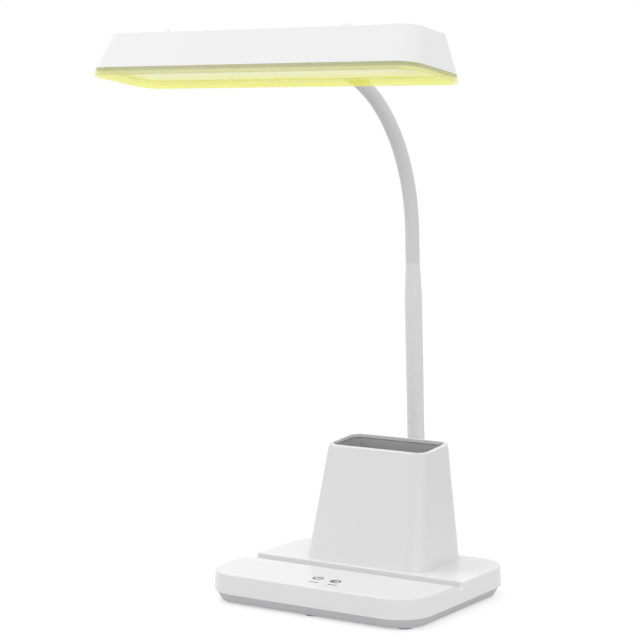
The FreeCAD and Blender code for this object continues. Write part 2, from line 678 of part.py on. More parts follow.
def taper_collar():
    """Collar that steps the tube down to the gooseneck, with a spigot and a seat for the core."""
    foot, direction = arm_point(TUBE_LENGTH)
    cone = Part.makeCone(TUBE_R, GOOSE_R, COLLAR_L, foot, direction)
    spigot_start = TUBE_LENGTH - COLLAR_SPIGOT_L
    spigot = arm_sweep(TUBE_R - TUBE_WALL - ARM_FIT, spigot_start, TUBE_LENGTH)
    seat = arm_sweep(CORE_R + ARM_FIT, GOOSE_START - COLLAR_SEAT_L, GOOSE_START + PAST)
    wires = arm_sweep(WIRE_WAY_R, spigot_start, GOOSE_START)
    return cone.fuse(spigot).cut([seat, wires])


def arm_socket():
    """Round steel block inside the tongue that holds the foot of the arm."""
    block = column(SOCKET_R, 0, ARM_FOOT_Y, SHELL_BOTTOM_Z, ROOF_Z)
    ends = edges_at_height(block, SHELL_BOTTOM_Z) + edges_at_height(block, ROOF_Z)
    block = block.makeChamfer(SOCKET_EDGE, ends)
    bore = arm_axis_cylinder(TUBE_R + ARM_FIT, SHELL_BOTTOM_Z + SOCKET_FLOOR, ROOF_Z + PAST)
    wires = arm_axis_cylinder(TUBE_R - TUBE_WALL, SHELL_BOTTOM_Z - PAST, ROOF_Z)
    screw_foot = V(0, ARM_FOOT_Y, SOCKET_SCREW_Z)
    thread = Part.makeCylinder(SOCKET_SCREW_R + THREAD_FIT, SOCKET_R + PAST, screw_foot, X_AXIS)
    return block.cut([bore, wires, thread])


def socket_screw():
    """Grub screw that locks the arm in its socket."""
    start = TUBE_R + ARM_FIT
    end = SOCKET_R - SOCKET_SCREW_SUNK
    foot = V(start, ARM_FOOT_Y, SOCKET_SCREW_Z)
    body = Part.makeCylinder(SOCKET_SCREW_R, end - start, foot, X_AXIS)
    points = []
    for corner in range(7):
        angle = math.pi / 3 * corner
        across = SOCKET_KEY_R * math.cos(angle)
        up = SOCKET_KEY_R * math.sin(angle)
        points.append(V(end, ARM_FOOT_Y + across, SOCKET_SCREW_Z + up))
    key = Part.Face(Part.makePolygon(points)).extrude(V(-SOCKET_KEY_DEPTH, 0, 0))
    return body.cut(key)


# ---------------------------------------------------------------- lamp head
def place_head(shape):
    """Move a shape from the head's own frame to where the neck carries it."""
    bend_end, along = arm_point(BEND_END)
    up = V(0, math.cos(END_SLOPE), math.sin(END_SLOPE))
    middle = bend_end + along * NECK_REACH - up * NECK_HEIGHT
    placed = shape.copy()
    placed.rotate(V(0, 0, 0), X_AXIS, -HEAD_PITCH)
    placed.translate(middle)
    return placed


def cover_block(inset, z_low, z_high):
    """Solid of the cover's tapered form, set in by a wall, between two heights."""
    def section(z):
        share = z / COVER_H
        width = COVER_BOTTOM_W + (COVER_TOP_W - COVER_BOTTOM_W) * share
        depth = COVER_BOTTOM_D + (COVER_TOP_D - COVER_BOTTOM_D) * share
        radius = COVER_BOTTOM_R + (COVER_TOP_R - COVER_BOTTOM_R) * share
        return rounded_rectangle(width - 2 * inset, depth - 2 * inset, radius - inset, z)
    return ruled_solid(section(z_low), section(z_high))


def neck_cylinder(radius, y_near, y_far):
    """Cylinder on the neck's centre line, in the head's frame, between two places."""
    return Part.makeCylinder(radius, y_far - y_near, V(0, y_near, NECK_HEIGHT), Y_AXIS)


def bracket_back_y():
    """Rear of the bracket, a gap in front of the cover's wall where the neck comes through."""
    lean_in = (COVER_BOTTOM_D - COVER_TOP_D) / 2 * NECK_HEIGHT / COVER_H
    return COVER_BOTTOM_D / 2 - lean_in - COVER_WALL - BRACKET_GAP


def head_cover():
    """White tapered cover with plug recesses, screw bosses and the hole for the neck."""
    outer = cover_block(0.0, 0.0, COVER_H)
    outer = outer.makeFillet(COVER_EDGE_R, edges_at_height(outer, COVER_H))
    cavity = cover_block(COVER_WALL, 0.0, COVER_H - COVER_WALL)
    shell = outer.cut(cavity)
    bosses = [column(BOSS_R, x, y, TRAY_TOP, COVER_H - COVER_WALL / 2).common(outer) for x, y in PLUGS]
    shell = shell.fuse(bosses)
    cuts = []
    for x, y in PLUGS:
        cuts.append(column(PLUG_R + ARM_FIT, x, y, COVER_H - PLUG_T, COVER_H + PAST))
        cuts.append(column(SCREW_HEAD_R + SCREW_FIT, x, y, HEAD_SCREW_SEAT, COVER_H))
        cuts.append(column(SCREW_R + SCREW_FIT, x, y, TRAY_TOP - PAST, COVER_H))
    cuts.append(neck_cylinder(GOOSE_R + ARM_FIT, 0, COVER_BOTTOM_D))
    return shell.cut(cuts)


def cover_plugs():
    """Low round plugs over the screws on top of the cover."""
    plugs = []
    for x, y in PLUGS:
        plug = column(PLUG_R, x, y, COVER_H - PLUG_T, COVER_H + PLUG_PROUD)
        plugs.append(plug.makeFillet(PLUG_EDGE_R, edges_at_height(plug, COVER_H + PLUG_PROUD)))
    return Part.makeCompound(plugs)


def head_screws():
    """Screws from the plug recesses down into the reflector tray."""
    return Part.makeCompound([screw(x, y, HEAD_SCREW_SEAT, TRAY_TOP - TRAY_ROOF) for x, y in PLUGS])


def light_rim():
    """Clear yellow rim under the cover, with a ledge that carries the panel's edge."""
    def section(inset, z):
        share = -z / RIM_H
        width = COVER_BOTTOM_W + 2 * RIM_FLARE_X * share
        depth = COVER_BOTTOM_D + 2 * RIM_FLARE_Y * share
        return rounded_rectangle(width - 2 * inset, depth - 2 * inset, COVER_BOTTOM_R - inset, z)
    outer = ruled_solid(section(0, -RIM_H), section(0, 0))
    outer = outer.makeFillet(RIM_EDGE_R, edges_at_height(outer, -RIM_H))
    inner = ruled_solid(section(RIM_WALL, -RIM_H), section(RIM_WALL, -RIM_LEDGE_T))
    window = ruled_solid(section(RIM_LEDGE_W, -RIM_H), section(RIM_LEDGE_W, 0))
    return outer.cut([inner, window])


def diffuser_panel():
    """Pale diffuser plate, its edge on the rim's ledge and inside the cover's wall."""
    return cover_block(COVER_WALL + PANEL_GAP, 0.0, PANEL_TOP)


def reflector_tray():
    """White tray over the panel, which carries the light board and takes the cover's screws."""
    tray = cover_block(COVER_WALL + TRAY_GAP, PANEL_TOP, TRAY_TOP)
    tray = tray.cut(cover_block(COVER_WALL + TRAY_GAP + TRAY_WALL, PANEL_TOP, TRAY_TOP - TRAY_ROOF))
    holes = [column(SCREW_R + THREAD_FIT, x, y, PANEL_TOP, TRAY_TOP + PAST) for x, y in PLUGS]
    return tray.cut(holes)


def led_board():
    """Long board for the light chips, fixed under the tray's roof."""
    bottom = TRAY_TOP - TRAY_ROOF - LED_BOARD_T
    outline = rounded_rectangle(LED_BOARD_W, LED_BOARD_D, LED_BOARD_CORNER_R, bottom)
    board = Part.Face(outline).extrude(V(0, 0, LED_BOARD_T))
    return board.cut([column(SCREW_R + SCREW_FIT, x, y, 0, COVER_H) for x, y in PLUGS])


def led_chips():
    """Rows of light chips on the underside of the board."""
    low = TRAY_TOP - TRAY_ROOF - LED_BOARD_T - LED_H
    chips = []
    for row in range(LED_ROWS):
        y = (row - (LED_ROWS - 1) / 2) * LED_PITCH_Y
        for column_index in range(LED_COLUMNS):
            x = (column_index - (LED_COLUMNS - 1) / 2) * LED_PITCH_X
            corner = V(x - LED_SIZE / 2, y - LED_SIZE / 2, low)
            chips.append(Part.makeBox(LED_SIZE, LED_SIZE, LED_H, corner))
    return Part.makeCompound(chips)


def neck_bracket():
    """Clamp block inside the cover around the end of the neck."""
    back = bracket_back_y()
    roof = COVER_H - COVER_WALL
    corner = V(-BRACKET_W / 2, back - BRACKET_D, TRAY_TOP)
    block = Part.makeBox(BRACKET_W, BRACKET_D, roof - TRAY_TOP, corner)
    block = block.common(cover_block(COVER_WALL, TRAY_TOP, roof))
    return block.cut(neck_cylinder(GOOSE_R + ARM_FIT, back - NECK_INSIDE, COVER_BOTTOM_D))


def neck_tube():
    """Rigid end of the arm: from the last hinge into the bracket, already in place."""
    tip_y = bracket_back_y() - NECK_INSIDE + NECK_TIP_GAP
    end = BEND_END + NECK_REACH - tip_y
    tube = arm_sweep(GOOSE_R, BEND_END, end).cut(seat_ball(BEND_END))
    return tube.cut(arm_sweep(GOOSE_R - NECK_WALL, BEND_END, end + PAST))


# ---------------------------------------------------------------- export
def parts():
    """Every node of the lamp by name."""
    named = {
        "base_top_shell": base_top_shell(),
        "base_bottom_cover": base_bottom_cover(),
        "rubber_feet": rubber_feet(),
        "base_screws": base_screws(),
        "counterweight": counterweight(),
        "control_board": control_board(),
        "board_screws": board_screws(),
        "key_springs": key_springs(),
        "power_inlet": power_inlet(),
        "cup_shell": cup_shell(),
        "cup_liner": cup_liner(),
        "cup_screws": cup_screws(),
        "arm_socket": arm_socket(),
        "socket_screw": socket_screw(),
        "arm_tube": arm_tube(),
        "taper_collar": taper_collar(),
        "neck_tube": neck_tube(),
    }
    for index in range(HINGE_COUNT):
        named[f"gooseneck_core_{index}"] = link_core(index)
        named[f"gooseneck_sleeve_{index}"] = link_sleeve(index)
    for make in (head_cover, cover_plugs, head_screws, light_rim, diffuser_panel,
                 reflector_tray, led_board, led_chips, neck_bracket):
        named[make.__name__] = place_head(make())
    return named


os.makedirs("parts", exist_ok=True)
for node, shape in parts().items():
    shape.exportStep(f"parts/{node}.step")
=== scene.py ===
"""Looks of a desk lamp with a pen cup and a phone slot across its base.

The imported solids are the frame. Each one that has the right shape is dressed
with its finish, and what the solids leave plain is built here: the smooth
gooseneck sleeve, the touch key marks and the studio. Metres, +Z up, -Y to the
front.
"""
import logging
import math
from dataclasses import dataclass
from enum import Enum
from typing import TypeAlias

import bmesh
import bpy
from mathutils import Matrix, Vector


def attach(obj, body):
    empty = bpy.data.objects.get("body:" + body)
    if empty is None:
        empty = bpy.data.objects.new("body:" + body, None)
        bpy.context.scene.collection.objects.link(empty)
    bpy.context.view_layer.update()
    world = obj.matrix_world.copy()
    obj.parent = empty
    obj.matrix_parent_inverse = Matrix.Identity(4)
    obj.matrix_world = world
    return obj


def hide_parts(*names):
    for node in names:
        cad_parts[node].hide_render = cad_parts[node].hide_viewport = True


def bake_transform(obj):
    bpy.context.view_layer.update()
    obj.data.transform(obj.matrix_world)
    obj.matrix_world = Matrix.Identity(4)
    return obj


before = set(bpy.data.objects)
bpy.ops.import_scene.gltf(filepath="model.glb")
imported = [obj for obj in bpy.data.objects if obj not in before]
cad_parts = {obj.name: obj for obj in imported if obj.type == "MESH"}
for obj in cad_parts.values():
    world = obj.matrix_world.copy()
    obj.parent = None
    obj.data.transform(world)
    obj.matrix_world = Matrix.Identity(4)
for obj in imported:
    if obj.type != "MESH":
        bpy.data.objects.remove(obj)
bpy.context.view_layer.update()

HEAD_PITCH = math.radians(7.06)
FULL_TURN = 360.0
PALEST = 0.97                   # the most that a finish reflects
LOG = logging.getLogger("desk_lamp")

Triple: TypeAlias = tuple[float, float, float]
Pair: TypeAlias = tuple[float, float]
Colour: TypeAlias = Triple
Value: TypeAlias = "Signal | float | tuple[float, ...]"


def srgb(red: float, green: float, blue: float) -> Colour:
    """Linear colour of a screen colour.

    Args:
        red: Red, from 0 to 255.
        green: Green, the same.
        blue: Blue, the same.

    Returns:
        The three linear values, from 0 to 1.
    """
    def linear(value: float) -> float:
        """Linear value of one screen value, by the sRGB curve."""
        share = value / 255
        return share / 12.92 if share <= 0.04045 else ((share + 0.055) / 1.055) ** 2.4
    return linear(red), linear(green), linear(blue)


def scaled(colour: Colour, factor: float) -> Colour:
    """The colour times a factor, no paler than a finish may be."""
    return tuple(min(part * factor, PALEST) for part in colour)


# ---------------------------------------------------------------- shader graphs
class Signal:
    """A shader socket in an expression: each operator adds one Math node."""

    def __init__(self, graph: "Graph", socket: bpy.types.NodeSocket) -> None:
        """Wraps the socket.

        Args:
            graph: The graph that the socket's node is in.
            socket: An output socket.
        """
        self.graph = graph
        self.socket = socket

    def math(self, operation: str, *values: Value) -> "Signal":
        """Adds a Math node that starts with this signal.

        Args:
            operation: Blender's name for the operation.
            values: The other inputs, in order.

        Returns:
            The node's result.
        """
        inputs = dict(enumerate((self, *values)))
        return self.graph.node("ShaderNodeMath", {"operation": operation}, inputs)

    def __add__(self, other: Value) -> "Signal":
        """This signal plus another."""
        return self.math("ADD", other)

    __radd__ = __add__

    def __sub__(self, other: Value) -> "Signal":
        """This signal less another."""
        return self.math("SUBTRACT", other)

    def __rsub__(self, other: float) -> "Signal":
        """A number less this signal."""
        return self.math("MULTIPLY_ADD", -1.0, other)

    def __mul__(self, other: Value) -> "Signal":
        """This signal times another."""
        return self.math("MULTIPLY", other)

    __rmul__ = __mul__

    def larger(self, other: Value) -> "Signal":
        """The larger of two signals."""
        return self.math("MAXIMUM", other)

    def ramp(self, low: float, high: float) -> "Signal":
        """0 at and under low, 1 at and over high, smooth between them.

        Args:
            low: Where the result starts to rise.
            high: Where it reaches 1.

        Returns:
            The smoothed share.
        """
        settings = {"interpolation_type": "SMOOTHSTEP"}
        inputs = {"Value": self, "From Min": low, "From Max": high}
        return self.graph.node("ShaderNodeMapRange", settings, inputs)


class Graph:
    """The node tree of one material or world, with one way to make a node."""

    MIX_SHARE, MIX_FIRST, MIX_SECOND, MIX_RESULT = 0, 6, 7, 2    # a colour Mix node's sockets

    def __init__(self, owner: bpy.types.ID, output: str) -> None:
        """Empties the owner's tree and gives it an output node.

        Args:
            owner: A material or a world.
            output: The type of its output node.
        """
        owner.use_nodes = True
        self.tree = owner.node_tree
        self.tree.nodes.clear()
        self.output = self.tree.nodes.new(output)

    def node(self, kind: str, settings: dict | None = None, inputs: dict | None = None,
             output: int | str = 0) -> Signal:
        """Makes one node.

        Args:
            kind: Blender's name for the node's type.
            settings: The node's properties.
            inputs: Values or signals by socket name or number.
            output: The output wanted, by name or number.

        Returns:
            That output as a signal.
        """
        made = self.tree.nodes.new(kind)
        for name, value in (settings or {}).items():
            setattr(made, name, value)
        for key, value in (inputs or {}).items():
            if isinstance(value, Signal):
                self.tree.links.new(value.socket, made.inputs[key])
            else:
                made.inputs[key].default_value = value
        return Signal(self, made.outputs[output])

    def place(self, turn: float = 0.0, scale: Triple = (1.0, 1.0, 1.0)) -> Signal:
        """The piece's own coordinates, turned about X and scaled.

        Args:
            turn: Turn about X in radians.
            scale: Scale along each axis.

        Returns:
            The coordinates.
        """
        own = self.node("ShaderNodeTexCoord", output="Object")
        inputs = {"Vector": own, "Rotation": (turn, 0.0, 0.0), "Scale": scale}
        return self.node("ShaderNodeMapping", inputs=inputs)

    def axis(self, vector: Signal, name: str) -> Signal:
        """One part of a vector, by its axis name."""
        return self.node("ShaderNodeSeparateXYZ", inputs={"Vector": vector}, output=name)

    def axes(self, vector: Signal) -> list[Signal]:
        """The three parts of a vector."""
        return [self.axis(vector, name) for name in "XYZ"]

    def noise(self, where: Signal, size: float, detail: float = 2.0) -> Signal:
        """Soft noise from 0 to 1.

        Args:
            where: The coordinates.
            size: Size of its features in metres.
            detail: How many finer layers it has.

        Returns:
            The noise.
        """
        inputs = {"Vector": where, "Scale": 1.0 / size, "Detail": detail}
        return self.node("ShaderNodeTexNoise", inputs=inputs)

    def mix(self, share: Value, first: Value, second: Value) -> Signal:
        """Mixes two colours.

        Args:
            share: 0 for the first, 1 for the second.
            first: Colour or signal.
            second: Colour or signal.

        Returns:
            The mixed colour.
        """
        def full(colour: Value) -> Value:
            """The colour with its alpha."""
            return colour if isinstance(colour, Signal) else (*colour, 1.0)
        inputs = {self.MIX_SHARE: share, self.MIX_FIRST: full(first), self.MIX_SECOND: full(second)}
        return self.node("ShaderNodeMix", {"data_type": "RGBA"}, inputs, self.MIX_RESULT)

    def bump(self, height: Signal, distance: float) -> Signal:
        """A normal from a height from 0 to 1.

        Args:
            height: The height.
            distance: What a height of 1 stands for, in metres.

        Returns:
            The normal.
        """
        inputs = {"Strength": 1.0, "Distance": distance, "Height": height}
        return self.node("ShaderNodeBump", inputs=inputs)

    def finish(self, surface: Signal) -> None:
        """Links the surface to the output."""
        self.tree.links.new(surface.socket, self.output.inputs["Surface"])


class Slot(Enum):
    """The record's material slots for the new pieces; nothing in this script uses them."""

    SLEEVE = "sleeve"
    PRINT = "black_plastic"


@dataclass(frozen=True)
class Finish:
    """A finish that pieces and solids are dressed with."""

    name: str

    def material(self) -> bpy.types.Material:
        """The material of this finish, made the first time it is asked for.

        Returns:
            The material.
        """
        found = bpy.data.materials.get(self.name)
        if found is None:
            found = bpy.data.materials.new(self.name)
            graph = Graph(found, "ShaderNodeOutputMaterial")
            graph.finish(self.surface(graph))
        return found

    def surface(self, graph: Graph) -> Signal:
        """The finish's shader.

        Args:
            graph: The graph to build it in.

        Returns:
            The shader's output.
        """
        raise NotImplementedError


@dataclass(frozen=True)
class Moulded(Finish):
    """Moulded plastic, rubber or paint: a faint mottle and a fine grain."""

    colour: Colour
    roughness: float
    mottle: float = 0.010
    mottle_size: float = 0.030
    grain: float = 0.000004
    grain_size: float = 0.0009
    grain_layers: float = 3.0
    grain_spread: float = 0.06      # how far the roughness varies with the grain
    mottle_spread: float = 0.04     # and with the mottle
    coat: float = 0.0
    coat_roughness: float = 0.12
    specular: float = 0.5

    def tone(self, graph: Graph, cloud: Signal) -> Signal:
        """The colour over the surface.

        Args:
            graph: The graph to build it in.
            cloud: The mottle, from 0 to 1.

        Returns:
            The mottled colour.
        """
        darker = scaled(self.colour, 1 - self.mottle)
        paler = scaled(self.colour, 1 + self.mottle)
        return graph.mix(cloud, darker, paler)

    def surface(self, graph: Graph) -> Signal:
        """Principled shader with mottled colour and roughness and a fine bump.

        Args:
            graph: The graph to build it in.

        Returns:
            The shader's output.
        """
        where = graph.place()
        cloud = graph.noise(where, self.mottle_size)
        fine = graph.noise(where, self.grain_size, self.grain_layers)
        smoothest = self.roughness - (self.grain_spread + self.mottle_spread) / 2
        inputs = {
            "Base Color": self.tone(graph, cloud),
            "Roughness": fine * self.grain_spread + (cloud * self.mottle_spread + smoothest),
            "Normal": graph.bump(fine, self.grain),
            "Coat Weight": self.coat,
            "Coat Roughness": self.coat_roughness,
            "Specular IOR Level": self.specular,
        }
        return graph.node("ShaderNodeBsdfPrincipled", inputs=inputs)


@dataclass(frozen=True, kw_only=True)
class SlottedShell(Moulded):
    """Moulded plastic with greyer painted shade in the deep part of the phone slot."""

    painted_slot_shade: Colour
    front_y: float = -0.0088
    back_y: float = -0.0024
    floor_z: float = 0.0168
    top_z: float = 0.0224
    half_x: float = 0.0860
    soften: float = 0.0003          # how gradually the painted shade starts at the slot's sides
    end_soften: float = 0.0010      # and at its two ends

    def tone(self, graph: Graph, cloud: Signal) -> Signal:
        """The colour over the surface, with the painted shade in its place.

        Args:
            graph: The graph to build it in.
            cloud: The mottle, from 0 to 1.

        Returns:
            The mottled colour with the painted shade mixed in.
        """
        x, y, z = graph.axes(graph.place())
        soft = self.soften
        behind = y.ramp(self.front_y - soft, self.front_y + soft)
        before = 1 - y.ramp(self.back_y - soft, self.back_y)
        above = z.ramp(self.floor_z - soft, self.floor_z)
        below = 1 - z.ramp(self.top_z - soft, self.top_z)
        between = 1 - (x * x).ramp((self.half_x - self.end_soften) ** 2, self.half_x ** 2)
        inside = behind * before * above * below * between
        # Painted shade: the deep part of the slot is greyed where shade falls.
        return graph.mix(inside, super().tone(graph, cloud), self.painted_slot_shade)


@dataclass(frozen=True)
class BrushedMetal(Finish):
    """Bare metal with fine brush lines along one axis."""

    colour: Colour
    roughness: float
    lines: Triple = (40.0, 900.0, 900.0)    # brush lines to the metre along each axis
    layers: float = 3.0
    dark: float = 0.85
    bright: float = 1.08
    spread: float = 0.15
    depth: float = 0.00001

    def surface(self, graph: Graph) -> Signal:
        """Metallic shader whose colour and roughness follow the brush lines.

        Args:
            graph: The graph to build it in.

        Returns:
            The shader's output.
        """
        brushed = graph.noise(graph.place(scale=self.lines), 1.0, self.layers)
        dark, bright = scaled(self.colour, self.dark), scaled(self.colour, self.bright)
        inputs = {
            "Base Color": graph.mix(brushed, dark, bright),
            "Metallic": 1.0,
            "Roughness": brushed * self.spread + self.roughness,
            "Normal": graph.bump(brushed, self.depth),
        }
        return graph.node("ShaderNodeBsdfPrincipled", inputs=inputs)


@dataclass(frozen=True)
class ClearRim(Finish):
    """Clear yellow plastic, light on the inside, with olive painted shade on the outside.

    Each wall has two faces, so a face lets half the light through. The outside
    faces carry painted shade, standing for the shaded panel seen through the wall.
    The upper part of a wall, level with the ledge, is deeper than the lower part,
    with darker painted shade outside, and painted light brightens the lower part
    of both ends. A faint painted glow lights the whole rim.
    """

    inside: Colour
    inside_deep: Colour
    painted_shade_outside: Colour
    painted_shade_outside_deep: Colour
    ledge: Colour
    split_z: float
    middle_y: float = -0.1568
    half_x: float = 0.1265
    half_y: float = 0.0300
    tip_x: float = 0.1120
    # painted light: the lower part of both ends is lightened toward the inside tone
    painted_tip_light: float = 0.30
    soften: float = 0.0003
    turnover: float = 0.05          # how gradually the outside's tone turns to the inside's
    ledge_from: float = 1.6         # 1 less the upward part of a face's direction, where the
    ledge_to: float = 1.8           # face starts and ends to count as the ledge's underside
    cover: float = 0.5
    ledge_cover: float = 0.4
    cloud_size: float = 0.012
    cloud_spread: float = 0.06
    roughness: float = 0.16
    coat: float = 0.6
    coat_roughness: float = 0.05
    # glow and outer_glow: a faint painted glow over the rim, dimmer on the outside faces
    glow: float = 0.24
    outer_glow: Colour = (0.03, 0.03, 0.01)

    def surface(self, graph: Graph) -> Signal:
        """Half see-through yellow under a glossy skin, with painted shade and painted light set by
        side and height.

        Args:
            graph: The graph to build it in.

        Returns:
            The shader's output.
        """
        where = graph.place(turn=HEAD_PITCH)
        x, y, z = graph.axes(where)
        own = graph.node("ShaderNodeTexCoord", output="Normal")
        inputs = {"Vector": own, "Rotation": (HEAD_PITCH, 0.0, 0.0)}
        facing = graph.node("ShaderNodeMapping", {"vector_type": "NORMAL"}, inputs)
        along_x, along_y, up = graph.axes(facing)
        away = along_x * x * (1 / self.half_x) + along_y * (y - self.middle_y) * (1 / self.half_y)
        outer = away.ramp(-self.turnover, self.turnover)
        deep = z.ramp(self.split_z - self.soften, self.split_z + self.soften)
        # Painted shade on the outside faces, lightened by painted light at the lower ends of the
        # rim.
        tip = x.math("ABSOLUTE").ramp(self.tip_x, self.half_x) * (1 - deep)
        shaded = outer * (1 - tip * self.painted_tip_light)
        lower = graph.mix(shaded, self.inside, self.painted_shade_outside)
        upper = graph.mix(outer, self.inside_deep, self.painted_shade_outside_deep)
        under_ledge = (1 - up).ramp(self.ledge_from, self.ledge_to) * deep
        colour = graph.mix(under_ledge, graph.mix(deep, lower, upper), self.ledge)
        cloud = graph.noise(where, self.cloud_size)
        inputs = {
            "Base Color": colour,
            "Roughness": cloud * self.cloud_spread + self.roughness,
            "Alpha": under_ledge * self.ledge_cover + self.cover,
            "Coat Weight": self.coat,
            "Coat Roughness": self.coat_roughness,
            # Painted glow, dimmed on the outside faces.
            "Emission Color": graph.mix(shaded, colour, self.outer_glow),
            "Emission Strength": self.glow,
        }
        return graph.node("ShaderNodeBsdfPrincipled", inputs=inputs)


@dataclass(frozen=True)
class LightPanel(Finish):
    """Frosted cream panel, brighter to the back by painted shade at the front, with small prisms in
    its face.
    """

    front: Colour
    back: Colour
    front_y: float
    back_y: float
    # strength of a faint painted glow that lightens the panel
    glow: float = 0.16
    pitch: float = 0.0016
    prism_depth: float = 0.000004
    cloud_size: float = 0.040
    cloud_spread: float = 0.05
    roughness: float = 0.22

    def surface(self, graph: Graph) -> Signal:
        """Soft cream shader, darker to the front by painted shade, with a faint painted glow and a
        pattern of small prisms.

        Args:
            graph: The graph to build it in.

        Returns:
            The shader's output.
        """
        where = graph.place(turn=HEAD_PITCH)
        cloud = graph.noise(where, self.cloud_size)
        inputs = {"Vector": where, "Scale": 1.0 / self.pitch, "Randomness": 0.0}
        cell = graph.node("ShaderNodeTexVoronoi", {"feature": "F1"}, inputs)
        # Painted shade: the panel darkens toward the front.
        share = graph.axis(where, "Y").ramp(self.front_y, self.back_y)
        colour = graph.mix(share, self.front, self.back)
        inputs = {
            "Base Color": colour,
            "Roughness": cloud * self.cloud_spread + self.roughness,
            "Normal": graph.bump(cell, self.prism_depth),
            # Painted glow.
            "Emission Color": colour,
            "Emission Strength": self.glow,
        }
        return graph.node("ShaderNodeBsdfPrincipled", inputs=inputs)


@dataclass(frozen=True)
class CircuitBoard(Finish):
    """Solder mask with paler copper tracks under it."""

    mask: Colour
    track: Colour
    cells: float = 260.0            # cells between the tracks to the metre
    unevenness: float = 0.55
    track_width: Pair = (0.04, 0.09)    # in cells, where its edge starts and ends
    depth: float = 0.00002
    roughness: float = 0.25
    mask_extra: float = 0.1         # how much rougher the mask is than the tracks

    def surface(self, graph: Graph) -> Signal:
        """Glossy mask with tracks between its cells.

        Args:
            graph: The graph to build it in.

        Returns:
            The shader's output.
        """
        inputs = {"Vector": graph.place(), "Scale": self.cells, "Randomness": self.unevenness}
        cells = graph.node("ShaderNodeTexVoronoi", {"feature": "DISTANCE_TO_EDGE"}, inputs)
        edge = cells.ramp(*self.track_width)
        inputs = {
            "Base Color": graph.mix(edge, self.track, self.mask),
            "Roughness": edge * self.mask_extra + self.roughness,
            "Normal": graph.bump(edge, self.depth),
        }
        return graph.node("ShaderNodeBsdfPrincipled", inputs=inputs)


# The shell's greyer slot colour is painted shade in the deep part of the phone slot.
SHELL_WHITE = SlottedShell(
    "shell_white", srgb(233, 233, 234), 0.30, coat=0.30, painted_slot_shade=srgb(219, 219, 220))
HEAD_WHITE = Moulded("head_white", srgb(240, 240, 241), 0.30, coat=0.30)
CUP_WHITE = Moulded("cup_white", srgb(222, 222, 223), 0.30, coat=0.30)
TRAY_WHITE = Moulded("tray_white", srgb(242, 242, 240), 0.55)
PLUG_GREY = Moulded("plug_grey", srgb(196, 196, 198), 0.50, grain_size=0.0005)
PLINTH_GREY = Moulded("plinth_grey", srgb(216, 216, 218), 0.60, grain=0.00001)
LINER_GREY = Moulded("liner_grey", srgb(182, 182, 184), 0.62, grain=0.00001)
INNER_GREY = Moulded("inner_grey", srgb(150, 150, 152), 0.60)
FOOT_RUBBER = Moulded(
    "foot_rubber", srgb(168, 168, 170), 0.85, mottle=0.04, grain=0.00002, specular=0.2)
TUBE_PAINT = Moulded("tube_paint", srgb(224, 224, 225), 0.38, coat=0.20, mottle_size=0.045)
SLEEVE_SOFT = Moulded("sleeve_soft", srgb(216, 216, 217), 0.50, grain=0.000006, grain_size=0.0007)
KEY_INK = Moulded("key_ink", srgb(34, 34, 36), 0.70, mottle=0.05, mottle_size=0.002)
INLET_BLACK = Moulded("inlet_black", srgb(38, 38, 40), 0.50, mottle=0.04)
CHIP_AMBER = Moulded("chip_amber", srgb(240, 212, 120), 0.35, mottle=0.03, mottle_size=0.002)
PLATE_STEEL = BrushedMetal("plate_steel", srgb(196, 197, 200), 0.32)
CORE_STEEL = BrushedMetal("core_steel", srgb(150, 151, 154), 0.38, lines=(900.0, 900.0, 60.0))
SPRING_BRASS = BrushedMetal("spring_brass", srgb(205, 176, 110), 0.28)
BOARD_GREEN = CircuitBoard("board_green", srgb(26, 92, 58), srgb(60, 128, 84))
# The outside tones are painted shade, standing for the shaded panel seen through the wall.
RIM_YELLOW = ClearRim(
    "rim_yellow", inside=srgb(250, 250, 76), inside_deep=srgb(246, 246, 50),
    painted_shade_outside=srgb(217, 217, 146), painted_shade_outside_deep=srgb(170, 172, 118), ledge=srgb(250, 250, 206),
    split_z=0.3556)
# The panel's darker front tone is painted shade.
PANEL_CREAM = LightPanel(
    "panel_cream", front=srgb(226, 226, 180), back=srgb(252, 252, 206), front_y=-0.182,
    back_y=-0.130)


# ---------------------------------------------------------------- mesh and node helpers
def object_of(name: str, mesh: bpy.types.Mesh, finish: Finish) -> bpy.types.Object:
    """Puts a mesh in the scene with its finish.

    Args:
        name: The piece's name.
        mesh: Its mesh, in place.
        finish: Its finish.

    Returns:
        The object, at the origin.
    """
    mesh.name = name
    mesh.materials.clear()
    mesh.materials.append(finish.material())
    made = bpy.data.objects.new(name, mesh)
    bpy.context.scene.collection.objects.link(made)
    return made


def dress(finish: Finish, *nodes: str) -> None:
    """Gives solids their finish.

    Args:
        finish: The finish.
        nodes: The names of the solids.
    """
    for node in nodes:
        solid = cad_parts[node]
        solid.data.materials.clear()
        solid.data.materials.append(finish.material())
        LOG.info("dressed %s with %s", node, finish.name)


def place_piece(piece: bpy.types.Object, body: str) -> None:
    """Lets a finished piece ride on a body.

    Args:
        piece: The piece.
        body: The body it moves with.
    """
    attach(piece, body)
    LOG.info("built %s on %s", piece.name, body)


